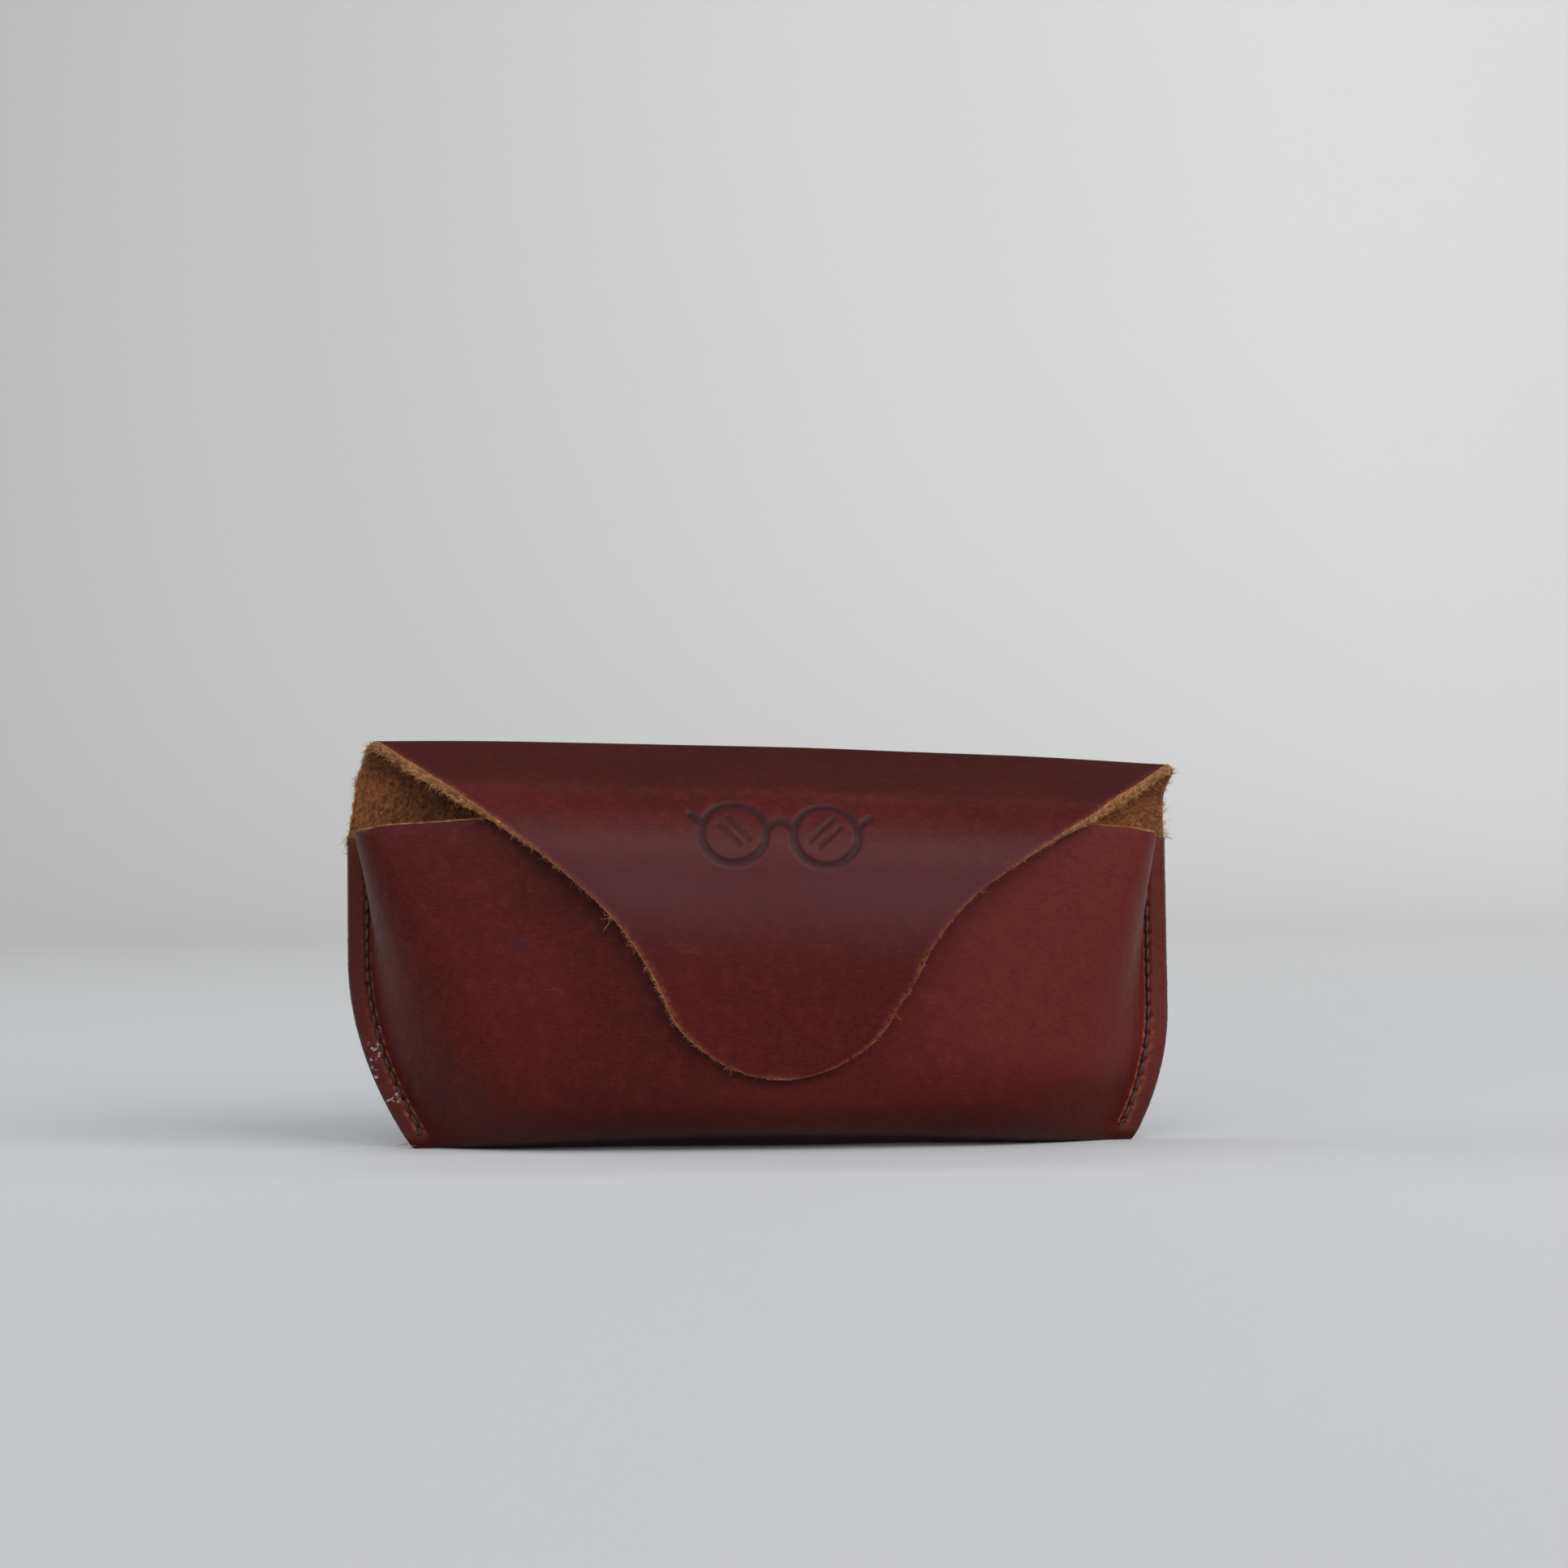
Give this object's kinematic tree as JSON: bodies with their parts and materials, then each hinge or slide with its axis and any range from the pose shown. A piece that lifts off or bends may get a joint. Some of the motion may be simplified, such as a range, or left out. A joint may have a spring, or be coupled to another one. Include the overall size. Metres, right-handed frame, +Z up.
{
  "type": "eyeglasses case",
  "caption": "Upright folded leather spectacles case with a stitched flange at each side and a tongue-shaped flap that opens about a rolled fold.",
  "frame": {"origin": "centre of the case's bounding box on the table it stands on", "axes": "+Z up, -Y out of the front where the flap lies, +X to the right seen from the front, along the case's length"},
  "size_m": [0.174, 0.0431, 0.0851],
  "materials": {
    "leather": "semi-gloss vegetable-tanned leather, oxblood brown grain",
    "flesh": "matte tan suede, the leather's undyed flesh side and cut edges",
    "thread": "waxed dark purple-brown thread"
  },
  "bodies": {
    "pouch": {"back_panel": "leather", "bottom_fold": "leather", "front_panel": "leather", "side_wall_left": "leather", "side_wall_right": "leather", "seam_thread_left": "thread", "seam_thread_right": "thread"},
    "fold": {"flap_fold": "leather"},
    "flap": {"flap": "leather"}
  },
  "joints": [
    {"name": "fold_bend", "type": "hinge", "parent": "pouch", "child": "fold", "pos_m": [0.00034, 0.02066, 0.07793], "axis": [-0.9993, 0.0027, 0.0366], "range_deg": [0, 70], "stiffness_Nm_per_rad": 0.012},
    {"name": "flap_bend", "type": "hinge", "parent": "fold", "child": "flap", "pos_m": [0.00049, 0.01475, 0.08213], "axis": [-0.9993, 0.0027, 0.0366], "range_deg": [0, 70]}
  ],
  "couplings": [
    {"joint": "flap_bend", "follows": "fold_bend", "ratio": 1}
  ]
}
